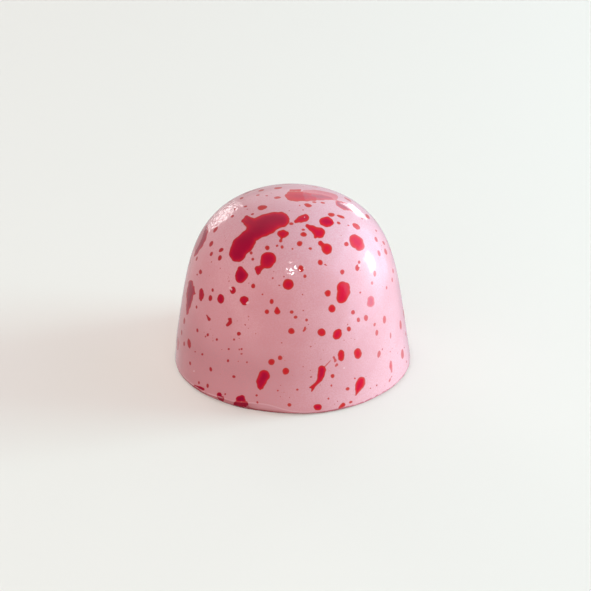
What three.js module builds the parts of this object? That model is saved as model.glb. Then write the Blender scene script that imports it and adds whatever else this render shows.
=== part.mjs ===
// A moulded chocolate praline: a squat dome of chocolate with a tinted cocoa butter skin.
// It is cast upside down in a polished cup mould, so its wall leans in by the mould's draft and runs over a
// round shoulder into a nearly flat crown. The mould's open end is scraped level, which leaves a flat base
// and a narrow uneven band where the rim has turned under.
// Millimetres, +Z up, with the origin in the middle of the flat base and the front towards -Y.

import * as THREE from "three";

// Driving dimensions
const RIM_RADIUS = 14.5;
const HEIGHT = 21.5;
const DRAFT_DEGREES = 8.6;

// How square the shoulder is, as the two powers of a superellipse from the rim to the crown.
// A larger power holds the wall straight for longer, and a smaller one rounds it off sooner.
const SHOULDER_HEIGHT_POWER = 5.9;
const SHOULDER_RADIUS_POWER = 2.2;

// The turned-under band at the foot: its crease is low round most of the rim,
// and climbs to one wide place just left of the front, quickly on one side and slowly on the other
const CREASE_LOW = 0.32;
const CREASE_HIGH = 1.25;
const CREASE_HIGH_AT_DEGREES = -103;
const CREASE_QUICK_SIDE_DEGREES = 11;
const CREASE_SLOW_SIDE_DEGREES = 22;

// The scraped edge steps in under the crease, and wavers because a blade cut it
const BASE_INSET = 0.5;
const UNDERCUT_ROUNDNESS = 1.7;
const EDGE_WAVES = [
  { count: 7, depth: 0.03, phase: 0.4 },
  { count: 17, depth: 0.025, phase: 2.1 },
];

// The crease no longer moves the wall above this height
const WALL_SETTLED_AT = 3;

// Steps round the dome, up its wall and crown, and up its foot
const STEPS_AROUND = 96;
const STEPS_UP_WALL = 32;
const STEPS_UP_FOOT = 2;

// The outline that the mould gives, as a radius for each height
function mouldRadius(height) {
  const climbed = (height - CREASE_LOW) / (HEIGHT - CREASE_LOW);
  const drafted = RIM_RADIUS - Math.tan(THREE.MathUtils.degToRad(DRAFT_DEGREES)) * (height - CREASE_LOW);
  if (climbed <= 0) return drafted;
  const left = Math.max(0, 1 - Math.pow(climbed, SHOULDER_HEIGHT_POWER));
  return drafted * Math.pow(left, 1 / SHOULDER_RADIUS_POWER);
}

// The same outline as a curve from the crease to the top of the crown.
// The quarter sine slows the climb near the top, where the radius changes fastest.
class MouldOutline extends THREE.Curve {
  getPoint(along, target = new THREE.Vector2()) {
    const height = CREASE_LOW + (HEIGHT - CREASE_LOW) * Math.sin((along * Math.PI) / 2);
    return target.set(mouldRadius(height), height);
  }
}

function edgeWave(angle) {
  return EDGE_WAVES.reduce((sum, wave) => sum + wave.depth * Math.sin(wave.count * angle + wave.phase), 0);
}

function creaseHeight(angle) {
  const widest = THREE.MathUtils.degToRad(CREASE_HIGH_AT_DEGREES);
  const turned = THREE.MathUtils.radToDeg(Math.atan2(Math.sin(angle - widest), Math.cos(angle - widest)));
  const spread = turned > 0 ? CREASE_QUICK_SIDE_DEGREES : CREASE_SLOW_SIDE_DEGREES;
  const swell = Math.exp(-Math.pow(turned / spread, 2));
  return CREASE_LOW + (CREASE_HIGH - CREASE_LOW) * swell + edgeWave(angle);
}

// Where a point of the plain lathed dome goes once the foot has its crease and its scraped edge
function settlePoint(point) {
  const plainRadius = Math.hypot(point.x, point.y);
  if (point.z >= WALL_SETTLED_AT || plainRadius === 0) return point;
  const angle = Math.atan2(point.y, point.x);
  const crease = creaseHeight(angle);
  let height;
  let radius;
  if (point.z >= CREASE_LOW) {
    const upTheWall = (point.z - CREASE_LOW) / (WALL_SETTLED_AT - CREASE_LOW);
    height = crease + upTheWall * (WALL_SETTLED_AT - crease);
    radius = mouldRadius(height);
  } else {
    const below = 1 - point.z / CREASE_LOW;
    const inset = (BASE_INSET + edgeWave(angle)) * Math.pow(below, UNDERCUT_ROUNDNESS);
    height = point.z * (crease / CREASE_LOW);
    radius = mouldRadius(crease) - inset;
  }
  return point.set(radius * Math.cos(angle), radius * Math.sin(angle), height);
}

// The profile runs from the middle of the base, out to its edge, up the foot and over the wall to the crown
function plainProfile() {
  const profile = [new THREE.Vector2(0, 0)];
  for (let step = 0; step < STEPS_UP_FOOT; step += 1) {
    profile.push(new THREE.Vector2(RIM_RADIUS, (CREASE_LOW * step) / STEPS_UP_FOOT));
  }
  profile.push(...new MouldOutline().getSpacedPoints(STEPS_UP_WALL));
  profile.at(-1).set(0, HEIGHT);
  return profile;
}

function makePraline() {
  const geometry = new THREE.LatheGeometry(plainProfile(), STEPS_AROUND);
  geometry.rotateX(Math.PI / 2);
  const position = geometry.getAttribute("position");
  const point = new THREE.Vector3();
  for (let index = 0; index < position.count; index += 1) {
    point.fromBufferAttribute(position, index);
    settlePoint(point);
    position.setXYZ(index, point.x, point.y, point.z);
  }
  geometry.computeVertexNormals();
  const skin = new THREE.MeshStandardMaterial({ color: "#dba3ae", roughness: 0.25, metalness: 0 });
  const praline = new THREE.Mesh(geometry, skin);
  praline.name = "praline";
  return praline;
}

const sweet = new THREE.Group();
sweet.add(makePraline());

export default sweet;
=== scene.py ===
# %% [markdown]
# # A splashed chocolate praline
#
# The real sweet is made from the outside in. Red cocoa butter is flicked into a polished cup mould, pink
# cocoa butter is sprayed over it, and chocolate is poured behind both. Turned out of the mould, everything
# lies flush under one gloss: red splashes, pink ground, chocolate. The open end of the mould is scraped
# level, and that edge is the only rough place on the sweet.
#
# This lesson goes the same way: the frame and the camera, the cast shape, the splashes and their nicks, the
# fine spray, the finishes, and the floor and light.

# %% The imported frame
import math
import random

import bpy
import numpy as np
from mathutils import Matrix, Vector
from mathutils.bvhtree import BVHTree


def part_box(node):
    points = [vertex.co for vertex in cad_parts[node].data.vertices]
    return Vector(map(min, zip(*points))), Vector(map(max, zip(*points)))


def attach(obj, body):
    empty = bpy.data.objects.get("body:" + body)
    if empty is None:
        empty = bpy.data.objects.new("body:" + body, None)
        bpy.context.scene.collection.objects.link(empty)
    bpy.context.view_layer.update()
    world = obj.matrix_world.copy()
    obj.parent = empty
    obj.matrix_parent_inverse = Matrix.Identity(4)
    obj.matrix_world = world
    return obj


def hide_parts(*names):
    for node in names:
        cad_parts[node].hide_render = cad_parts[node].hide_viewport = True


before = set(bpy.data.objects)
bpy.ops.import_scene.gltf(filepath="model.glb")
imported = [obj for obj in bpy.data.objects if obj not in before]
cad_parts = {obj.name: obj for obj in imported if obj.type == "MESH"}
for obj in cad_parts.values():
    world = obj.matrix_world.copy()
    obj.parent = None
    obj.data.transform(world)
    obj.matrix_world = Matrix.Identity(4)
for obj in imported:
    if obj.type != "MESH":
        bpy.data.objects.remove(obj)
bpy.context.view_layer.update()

MM = 0.001

# %% [markdown]
# ## Sizes
#
# The frame already holds the praline as one plain solid, and its box gives the two driving sizes. The other
# sizes are the ones that shaped that solid, so the finer shell made here lies in the same place. Only the
# foot differs a little: its slow side and its undercut are larger, and its roughness and the faint swell
# are new.

# %% Sizes of the cast
solid_low, solid_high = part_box("praline")
RIM_RADIUS = (solid_high.x - solid_low.x) / 2
HEIGHT = solid_high.z
EDGE_WAVES = [(7, 0.03 * MM, 0.4), (17, 0.025 * MM, 2.1)]
SHELL_SIZES = {
    "Rim Radius": RIM_RADIUS,
    "Height": HEIGHT,
    "Wall Lean": math.tan(math.radians(8.6)),
    "Height Power": 5.9,
    "Radius Power": 2.2,
    "Crease Low": 0.32 * MM,
    "Crease High": 1.25 * MM,
    "Crease High At": math.radians(-103),
    "Quick Side": math.radians(11),
    "Slow Side": math.radians(24.5),
    "Base Inset": 0.5 * MM,
    "Undercut Roundness": 2.4,
    "Wall Settled At": 3 * MM,
    "Ease": 0.19 * MM,
    "Eased Up To": 3.5 * MM,
    "Swell": 0.03 * MM,
    "Foot Roughness": 0.07 * MM,
}
print(f"rim radius {RIM_RADIUS / MM:.2f} mm, height {HEIGHT / MM:.2f} mm")

# %% [markdown]
# ## The camera
#
# A sweet this small is photographed with a long lens, which hardly narrows it towards the back. So the
# camera stands twenty radii away and looks down by 27 degrees. The picture is a square, and the sweet
# stands a little left of its middle and above it. A lens shift could put it there, but aiming the camera
# slightly right of the sweet and lower does the same and leaves the lens plain.

# %% Camera
PHOTO_SIDE = 591
AXIS_IN_PHOTO = (291.9, 278.25)
PIXELS_PER_MM = 8.29
LOOKING_DOWN = math.radians(27)
CAMERA_DISTANCE = 20 * RIM_RADIUS
SENSOR = 36.0
NEAREST_SEEN = 0.01

ahead = Vector((0, math.cos(LOOKING_DOWN), -math.sin(LOOKING_DOWN)))
upward = Vector((0, math.sin(LOOKING_DOWN), math.cos(LOOKING_DOWN)))
rightward = Vector((1, 0, 0))
middle = Vector((0, 0, HEIGHT / 2))
eye = middle - ahead * CAMERA_DISTANCE

picture_width = PHOTO_SIDE / PIXELS_PER_MM * MM
aim_right = (PHOTO_SIDE / 2 - AXIS_IN_PHOTO[0]) / PIXELS_PER_MM * MM
aim_down = (PHOTO_SIDE / 2 - AXIS_IN_PHOTO[1]) / PIXELS_PER_MM * MM
aim = middle + rightward * aim_right - upward * aim_down

camera = bpy.data.objects.new("camera", bpy.data.cameras.new("camera"))
bpy.context.collection.objects.link(camera)
camera.location = eye
camera.rotation_euler = (aim - eye).to_track_quat("-Z", "Y").to_euler()
camera.data.sensor_width = SENSOR
camera.data.lens = SENSOR * CAMERA_DISTANCE / picture_width
camera.data.clip_start = NEAREST_SEEN
bpy.context.scene.camera = camera
print(f"lens {camera.data.lens:.1f} mm")

# %% [markdown]
# ## Writing node trees as sums
#
# A node tree is easier to read as a sum than as a list of nodes and links. `Wire` wraps one socket, and an
# operator used on it adds the Math node that works it out. `Bench` holds the tree, and its method `node`
# makes any other node from a type, what goes into its sockets, and its settings, which are set first
# because they decide which sockets are in use.

# %% Wires
OPERATORS = {"add": "ADD", "sub": "SUBTRACT", "mul": "MULTIPLY", "truediv": "DIVIDE", "pow": "POWER"}


class Wire:
    """One socket of a tree, which can be used in sums."""

    def __init__(self, bench, socket):
        self.bench = bench
        self.socket = socket

    def __getitem__(self, name):
        return Wire(self.bench, self.socket.node.outputs[name])

    def maths(self, operation, *others):
        """This wire, and any other values, put through one Math node."""
        return self.bench.maths(operation, self, *others)

    def share(self, low, high, way="LINEAR"):
        """0 up to low, 1 from high, and a straight slope from one to the other."""
        inputs = {"Value": self, "From Min": low, "From Max": high}
        return self.bench.node("ShaderNodeMapRange", inputs, interpolation_type=way)

    def between(self, low, high):
        """0 up to low, 1 from high, and a smooth step from one to the other."""
        return self.share(low, high, "SMOOTHSTEP")


for word, operation in OPERATORS.items():
    setattr(Wire, f"__{word}__", lambda a, b, name=operation: a.bench.maths(name, a, b))
    setattr(Wire, f"__r{word}__", lambda a, b, name=operation: a.bench.maths(name, b, a))


# %% Benches
def open_socket(made, key):
    """A node's input by its number, or the one in use that has the name."""
    if isinstance(key, int):
        return made.inputs[key]
    return next(socket for socket in made.inputs if socket.name == key and socket.enabled)


def set_stops(ramp, stops):
    while len(ramp.elements) < len(stops):
        ramp.elements.new(1.0)
    for element, (place, colour) in zip(ramp.elements, stops):
        element.position = place
        element.color = (*colour, 1.0)


class Bench:
    """A node tree while it is being built."""

    def __init__(self, tree):
        self.tree = tree

    def node(self, kind, inputs=None, **settings):
        made = self.tree.nodes.new(kind)
        for name, value in settings.items():
            if name == "stops":
                set_stops(made.color_ramp, value)
            else:
                setattr(made, name, value)
        for key, value in (inputs or {}).items():
            socket = open_socket(made, key)
            if isinstance(value, Wire):
                self.tree.links.new(value.socket, socket)
            else:
                socket.default_value = value
        shown = [socket for socket in made.outputs if socket.enabled]
        return Wire(self, shown[0]) if shown else None

    def maths(self, operation, *values):
        return self.node("ShaderNodeMath", dict(enumerate(values)), operation=operation)

    def mix(self, share, first, second):
        """The first colour where the share is 0 and the second where it is 1."""
        inputs = {"Factor": share}
        for name, colour in (("A", first), ("B", second)):
            inputs[name] = colour if isinstance(colour, Wire) else (*colour, 1.0)
        return self.node("ShaderNodeMix", inputs, data_type="RGBA")

    def scaled(self, vector, scale):
        return self.node("ShaderNodeVectorMath", {0: vector, "Scale": scale}, operation="SCALE")


# %% [markdown]
# ## Geometry trees with named sizes
#
# Each Geometry Nodes tree gets its sizes as named inputs. A modifier stores them by the socket's
# identifier, so `run_tree` looks that up, sets every value before the tree is first worked out, and then
# keeps the result as a plain mesh without a modifier.

# %% Starting and ending a geometry tree
SOCKET_KINDS = {
    float: "NodeSocketFloat",
    int: "NodeSocketInt",
    bpy.types.Material: "NodeSocketMaterial",
    bpy.types.Object: "NodeSocketObject",
}


def start_tree(name, sizes):
    """A geometry tree with a named input for each size: its bench, and the wire of its inputs."""
    tree = bpy.data.node_groups.new(name, "GeometryNodeTree")
    tree.interface.new_socket("Geometry", in_out="INPUT", socket_type="NodeSocketGeometry")
    for word, value in sizes.items():
        tree.interface.new_socket(word, in_out="INPUT", socket_type=SOCKET_KINDS[type(value)])
    tree.interface.new_socket("Geometry", in_out="OUTPUT", socket_type="NodeSocketGeometry")
    bench = Bench(tree)
    return bench, bench.node("NodeGroupInput")


def finish_tree(bench, geometry, material):
    """The tree's end: real copies, one material, and the output."""
    solid = bench.node("GeometryNodeRealizeInstances", {"Geometry": geometry})
    dressed = bench.node("GeometryNodeSetMaterial", {"Geometry": solid, "Material": material})
    bench.node("NodeGroupOutput", {"Geometry": dressed})


# %% Running a geometry tree
def run_tree(bench, sizes, name):
    """The tree's result as a new object with a plain mesh."""
    maker = bpy.data.objects.new(name + " maker", bpy.data.meshes.new("start"))
    bpy.context.collection.objects.link(maker)
    modifier = maker.modifiers.new(bench.tree.name, "NODES")
    modifier.node_group = bench.tree
    for item in bench.tree.interface.items_tree:
        if item.in_out == "INPUT" and item.name in sizes:
            modifier[item.identifier] = sizes[item.name]
    worked_out = maker.evaluated_get(bpy.context.evaluated_depsgraph_get())
    mesh = bpy.data.meshes.new_from_object(worked_out)
    mesh.name = name
    bpy.data.objects.remove(maker)
    piece = bpy.data.objects.new(name, mesh)
    bpy.context.collection.objects.link(piece)
    print(f"{name}: {len(mesh.vertices)} points, {len(mesh.loop_triangles)} triangles")
    return piece


# %% Nodes that the geometry trees share
def in_millimetres(bench, place):
    """A place in millimetres, because a noise takes no scale above 1000."""
    return bench.scaled(place, 1 / MM)


def cloud(bench, place, size, detail=2.0):
    """A noise whose lumps are about as wide as the size, in millimetres."""
    return bench.node("ShaderNodeTexNoise", {"Vector": place, "Scale": 1 / size, "Detail": detail})["Fac"]


def store(bench, geometry, name, value, domain="POINT"):
    """Keeps a number on the geometry under a name."""
    inputs = {"Geometry": geometry, "Name": name, "Value": value}
    return bench.node("GeometryNodeStoreNamedAttribute", inputs, data_type="FLOAT", domain=domain)


def stored(bench, name):
    """A number that was kept under a name."""
    return bench.node("GeometryNodeInputNamedAttribute", {"Name": name}, data_type="FLOAT")["Attribute"]


def push_out(bench, geometry, distance):
    """Moves every point along its normal."""
    offset = bench.scaled(bench.node("GeometryNodeInputNormal"), distance)
    return bench.node("GeometryNodeSetPosition", {"Geometry": geometry, "Offset": offset})


# %% [markdown]
# ## The cast shape
#
# The praline is a turned form, so a rule makes it. A curve holds the mould's outline, from the crease at
# the foot to the top of the crown. A flat grid is then wrapped round the axis: one way across the grid is
# the turn, and the other runs over three stretches, the flat base, the foot and the wall. A Screw or Spin
# of the curve would make the same dome, but not a foot whose crease climbs and falls on its way round.
#
# Sampling the curve at even lengths keeps the quads even. Two small crowdings spend them where the drops
# are smallest, near the foot and on the front.

# %% Quads of the grid
STEPS_AROUND = 480
BASE_ROWS = 5
FOOT_ROWS = 10
WALL_ROWS = 190
ROWS = BASE_ROWS + FOOT_ROWS + WALL_ROWS
print("quads of the shell", STEPS_AROUND * ROWS)

# %% The mould's outline
OUTLINE_POINTS = 500


def mould_radius(sizes, height):
    """The mould's radius at a height, as a superellipse on a leaning wall."""
    climbed = (height - sizes["Crease Low"]) / (sizes["Height"] - sizes["Crease Low"])
    drafted = sizes["Rim Radius"] - sizes["Wall Lean"] * (height - sizes["Crease Low"])
    left = (1 - climbed ** sizes["Height Power"]).maths("MAXIMUM", 0.0)
    return drafted * left ** (1 / sizes["Radius Power"])


def mould_outline(bench, sizes):
    """A curve of radius and height, whose quarter sine slows the climb near the crown."""
    line = bench.node("GeometryNodeCurvePrimitiveLine")
    line = bench.node("GeometryNodeResampleCurve", {"Curve": line, "Count": OUTLINE_POINTS})
    along = bench.node("GeometryNodeSplineParameter")["Factor"]
    climb = (along * (math.pi / 2)).maths("SINE")
    height = sizes["Crease Low"] + (sizes["Height"] - sizes["Crease Low"]) * climb
    place = bench.node("ShaderNodeCombineXYZ", {"X": mould_radius(sizes, height), "Z": height})
    return bench.node("GeometryNodeSetPosition", {"Geometry": line, "Position": place})


# %% The crease and the scraped edge
def edge_wave(turn):
    """The scraped edge wavers a little round the foot."""
    waves = [(turn * count + phase).maths("SINE") * depth for count, depth, phase in EDGE_WAVES]
    return waves[0] + waves[1]


def crease_height(sizes, turn):
    """The foot's crease, which climbs to one wide place left of the front."""
    turned = (turn - sizes["Crease High At"]).maths("WRAP", math.pi, -math.pi)
    quick = turned.maths("GREATER_THAN", 0.0)
    off = turned / (sizes["Slow Side"] + (sizes["Quick Side"] - sizes["Slow Side"]) * quick)
    swell = (off * off * -1).maths("EXPONENT")
    return sizes["Crease Low"] + (sizes["Crease High"] - sizes["Crease Low"]) * swell + edge_wave(turn)


# %% The wall over the crease
def settled_wall(bench, sizes, share, crease):
    """Radius and height on the wall, moved so that its lowest row is the crease."""
    curve = {"Curves": mould_outline(bench, sizes), "Factor": share}
    even = bench.node("GeometryNodeSampleCurve", curve, mode="FACTOR", use_all_curves=True)["Position"]
    plain = bench.node("ShaderNodeSeparateXYZ", {"Vector": even})
    left = 1 - plain["Z"].share(sizes["Crease Low"], sizes["Wall Settled At"])
    height = plain["Z"] + (crease - sizes["Crease Low"]) * left
    radius = plain["X"] - sizes["Wall Lean"] * (height - plain["Z"])
    return radius, height


# %% The grid wrapped round the axis
WALL_CROWDING = 0.16
FRONT_CROWDING = 0.3
EASED_SIDE = (-0.2, -1.0)
SEAM_GAP = 0.0005 * MM


def row_shares(row):
    """How far a row lies along the base, the foot and the wall, each from 0 to 1."""
    ends = (0, BASE_ROWS, BASE_ROWS + FOOT_ROWS, ROWS)
    return [row.share(float(start), float(end)) for start, end in zip(ends[:-1], ends[1:])]


def wrap_grid(bench, sizes):
    """The closed turned form. Two numbers are kept on it, both in millimetres: how far a point lies above the
    crease, and how far in from the edge of the base."""
    size = {"Size X": 1.0, "Size Y": 1.0, "Vertices X": STEPS_AROUND + 1, "Vertices Y": ROWS + 1}
    sheet = bench.node("GeometryNodeMeshGrid", size)
    flat = bench.node("ShaderNodeSeparateXYZ", {"Vector": bench.node("GeometryNodeInputPosition")})
    even_turn = flat["X"] * (2 * math.pi)
    turn = even_turn - even_turn.maths("SINE") * FRONT_CROWDING - math.pi / 2
    on_base, on_foot, on_wall = row_shares((flat["Y"] + 0.5) * ROWS)
    crowded = on_wall - (on_wall * math.pi).maths("SINE") * (WALL_CROWDING / math.pi)

    crease = crease_height(sizes, turn)
    radius, height = settled_wall(bench, sizes, crowded, crease)
    tucked = (sizes["Base Inset"] + edge_wave(turn)) * (1 - on_foot) ** sizes["Undercut Roundness"]
    across = turn.maths("COSINE")
    eased = across.between(*EASED_SIDE) * height.between(sizes["Eased Up To"], 0.0) * sizes["Ease"]
    radius = (radius - tucked - eased) * on_base
    height = height * on_foot
    round_axis = {"X": radius * across, "Y": radius * turn.maths("SINE"), "Z": height}
    place = bench.node("ShaderNodeCombineXYZ", round_axis)

    shape = store(bench, sheet, "band", (height - crease) * (1 / MM))
    shape = store(bench, shape, "under", (1 - on_base) * (RIM_RADIUS / MM))
    shape = bench.node("GeometryNodeSetPosition", {"Geometry": shape, "Position": place})
    return bench.node("GeometryNodeMergeByDistance", {"Geometry": shape, "Distance": SEAM_GAP})


# %% [markdown]
# The grid's long side closes on itself and its ends close to a point, so one merge makes it a closed solid.
# Two kinds of unevenness come after that, which every hand-made cast has: a faint swell all over, and a
# rough foot where the blade scraped it.

# %% The unevenness of the cast
SWELL_LUMP = 6.25
ROUGH_LUMP = 1 / 1.7
ROUGH_MIDDLE = 0.62
SCRAPED_UP_TO = (-0.1, 0.12)
SCRAPED_INWARDS = (0.0, 0.4)


def roughen(bench, sizes, shape):
    place = in_millimetres(bench, bench.node("GeometryNodeInputPosition"))
    swell = cloud(bench, place, SWELL_LUMP, 1.0)
    shape = push_out(bench, shape, (swell - 0.5) * sizes["Swell"])
    rough = cloud(bench, place, ROUGH_LUMP, 3.0)
    scraped = 1 - stored(bench, "band").between(*SCRAPED_UP_TO)
    scraped = scraped * (1 - stored(bench, "under").between(*SCRAPED_INWARDS))
    return push_out(bench, shape, (rough - ROUGH_MIDDLE) * sizes["Foot Roughness"] * scraped)


# %% The shell
skin = bpy.data.materials.new("tinted cocoa butter")
shell_sizes = {**SHELL_SIZES, "Skin": skin}
caster, caster_sizes = start_tree("cast shell", shell_sizes)
cast = roughen(caster, caster_sizes, wrap_grid(caster, caster_sizes))
cast = caster.node("GeometryNodeSetShadeSmooth", {"Geometry": cast})
finish_tree(caster, cast, caster_sizes["Skin"])
shell = run_tree(caster, shell_sizes, "praline_shell")

# %% [markdown]
# ## Drawing on a round surface
#
# A splash is drawn as beads along its length, the way a flicked drop runs: each bead is a place and a
# radius, and the outline between two beads is their common tangent. To lay a drawing on the dome without
# stretching, every splash gets its own small sheet, touching the dome at the splash's middle. A point of
# the dome keeps its direction on that sheet and its true distance from the middle, so a splash near the
# edge of the view runs on round the side as the real one does.
#
# The drawings on the front are in pixels of the photograph, so for them the sheet is seen at the camera's
# slant. Those on the back are drawn face on.

# %% Points and rays
SEARCH_STEP = (0.5, 0.2)


def read_vectors(name):
    """A vector for each point of the shell, such as its place, as one array."""
    values = np.zeros(len(shell.data.vertices) * 3)
    shell.data.vertices.foreach_get(name, values)
    return values.reshape(-1, 3)


places = read_vectors("co")
normals = read_vectors("normal")
faces = [face.vertices for face in shell.data.polygons]
dome = BVHTree.FromPolygons([point.co for point in shell.data.vertices], faces)


def in_photo(place):
    """Where a point of space lies in the photograph."""
    sight = Vector(place) - eye
    scale = CAMERA_DISTANCE / sight.dot(ahead) * PIXELS_PER_MM / MM
    x = AXIS_IN_PHOTO[0] + sight.dot(rightward) * scale
    y = AXIS_IN_PHOTO[1] - sight.dot(upward) * scale
    return np.array((x, y))


def on_dome(x, y):
    """The point of the dome that the photograph shows at a pixel, and its normal.
    A pixel just off the dome is drawn in towards the axis until it meets it."""
    while True:
        right = (x - AXIS_IN_PHOTO[0]) / PIXELS_PER_MM * MM
        up = (AXIS_IN_PHOTO[1] - y) / PIXELS_PER_MM * MM
        sight = ahead * CAMERA_DISTANCE + rightward * right + upward * up
        place, normal, _, _ = dome.ray_cast(eye, sight.normalized())
        if place is not None:
            return place, normal
        x += math.copysign(SEARCH_STEP[0], AXIS_IN_PHOTO[0] - x)
        y += math.copysign(SEARCH_STEP[1], AXIS_IN_PHOTO[1] - y)


# %% Sheets that touch the dome
NEARLY_NOTHING = 1e-9
STRAIGHT_UP = 0.001


class Sheet:
    """A flat sheet that touches the dome at one point, for drawing a splash on."""

    def __init__(self, place, normal, seen=True, turn=0.0):
        self.middle = np.array(place)
        across = Vector((0, 0, 1)).cross(normal)
        if across.length < STRAIGHT_UP:
            across = Vector((1, 0, 0))
        across.normalize()
        along = normal.cross(across)
        self.sides = np.array((across, along))
        if seen:
            start = in_photo(place)
            steps = [in_photo(Vector(place) + side * MM) - start for side in (across, along)]
            self.draw = np.array(steps) / MM
        else:
            turned = ((math.cos(turn), math.sin(turn)), (-math.sin(turn), math.cos(turn)))
            self.draw = np.array(turned) * PIXELS_PER_MM / MM

    def lay(self, points):
        """Drawing coordinates of points near the middle, in pixels."""
        away = points - self.middle
        flat = away @ self.sides.T
        length = np.linalg.norm(flat, axis=1)
        true_length = np.linalg.norm(away, axis=1)
        flat *= (true_length / np.maximum(length, NEARLY_NOTHING))[:, None]
        return flat @ self.draw


# %% Depth inside a drawing
def depth_in_run(points, beads):
    """How deep points lie inside a run of beads, in pixels, negative outside."""
    depth = np.full(len(points), -np.inf)
    beads = np.array(beads, float)
    if len(beads) == 1:
        beads = np.vstack((beads, beads))
    for start, end in zip(beads[:-1], beads[1:]):
        step = end[:2] - start[:2]
        share = (points - start[:2]) @ step / max(step @ step, NEARLY_NOTHING)
        share = np.clip(share, 0, 1)
        near = start[:2] + share[:, None] * step
        radius = start[2] + share * (end[2] - start[2])
        depth = np.maximum(depth, radius - np.linalg.norm(points - near, axis=1))
    return depth


def soft_union(first, second, fillet):
    """The larger of two depths, with the notch between the two shapes filled by a fillet."""
    gap = np.maximum(fillet - np.abs(first - second), 0) / fillet
    return np.maximum(first, second) + gap * gap * fillet / 4


def waver(points, wavelength, seed, waves=14):
    """A smooth unevenness from about -1 to 1, as a sum of waves in seeded directions."""
    draw = np.random.default_rng(seed)
    total = np.zeros(len(points))
    for _ in range(waves):
        direction = draw.normal(size=3)
        direction *= 2 * math.pi / wavelength / np.linalg.norm(direction)
        total += np.sin(points @ direction + draw.uniform(0, 2 * math.pi))
    return total / math.sqrt(waves)


# %% [markdown]
# ## The splashes that the photograph shows
#
# The large ones are drawn bead by bead, and each has a name. A splash that is thinner or thicker than its
# size suggests also has a cover, how much of the pink it hides, and a load, how much paint it carries. A
# small drop is an oval, given by its middle, its width and height, and how far its longer side leans to the
# right in degrees, where it leans.

# %% Large splashes, as beads of x, y and radius in photo pixels
LARGE_SPLASHES = {
    "upper half of the long blot": [
        [(281.2, 219, 7.9), (276, 219.6, 8.7), (268, 223, 10.2), (260.5, 226.2, 10.2), (254.4, 230.4, 8.9)],
        [(246.7, 217.5, 2.6), (254, 224.5, 6)],
        [(243.7, 221, 2.4), (253, 225, 6)],
    ],
    "lower half of the long blot": [
        [(257, 228.4, 9.4), (250.8, 234.4, 7.6), (246, 240.4, 8.9), (240.7, 246, 9.7), (237, 252.9, 8.6)],
        [(249.3, 241.4, 6.3), (247, 244.8, 6.3)],
    ],
    "pointed drop": [[(241.1, 274.7, 6.5), (240.3, 269, 3)], [(241.4, 275.4, 6.2), (240, 278.8, 4.4)]],
    "flat oval": [[(323.6, 221.4, 4.3), (326.4, 221.7, 5.3), (329.6, 222.2, 4.3)]],
    "teardrop": [[(305.4, 217.7, 4.1), (301, 219.2, 3.7), (295.6, 221.3, 1.7)]],
    "heart": [
        [(280.8, 233.7, 3.6), (283.4, 233.4, 4.2), (286.2, 233.6, 2.6)],
        [(283.2, 235.2, 3.4), (281.6, 238.2, 1.4)],
    ],
    "drop under the heart": [[(280.7, 240.7, 1.8)]],
    "foot drop": [
        [(264.1, 375.8, 5.8), (262.4, 378.8, 5)],
        [(261, 382.4, 5.2), (260.5, 386, 3.6), (260.1, 389.6, 0.8)],
    ],
    "running drop": [
        [(321.9, 369.6, 4.1), (321.4, 374, 3.9), (319.6, 379, 2.9), (316.4, 383.8, 1.8), (313, 387, 1.5)],
        [(313, 387, 1.4), (309.6, 387.6, 1)],
        [(313, 387.4, 1.4), (311.5, 391.4, 0.6)],
    ],
    "thread from the running drop": [[(325.4, 366, 0.55), (330.5, 360.6, 0.4)]],
    "hook": [[(228.6, 318.8, 1), (230, 319.4, 1.5), (230.3, 322.2, 2.1), (227.4, 325.1, 1.7)]],
    "notched drop": [[(243.8, 300.2, 4.1), (244.4, 301.6, 4)], [(244.4, 298.8, 3), (246.8, 298.8, 1.6)]],
    "small triangle": [[(277.2, 311.4, 3.3), (276.9, 306.9, 0.5)]],
    "comma": [[(209.2, 319.2, 1.6), (206.5, 314.9, 0.5)]],
    "crescent": [[(304.9, 327.6, 1), (304.9, 329.4, 1.2), (303.4, 331, 0.9)]],
    "thin smear on the right foot": [[(343.4, 404.9, 2.2), (339, 408, 0.9)]],
}

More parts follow.
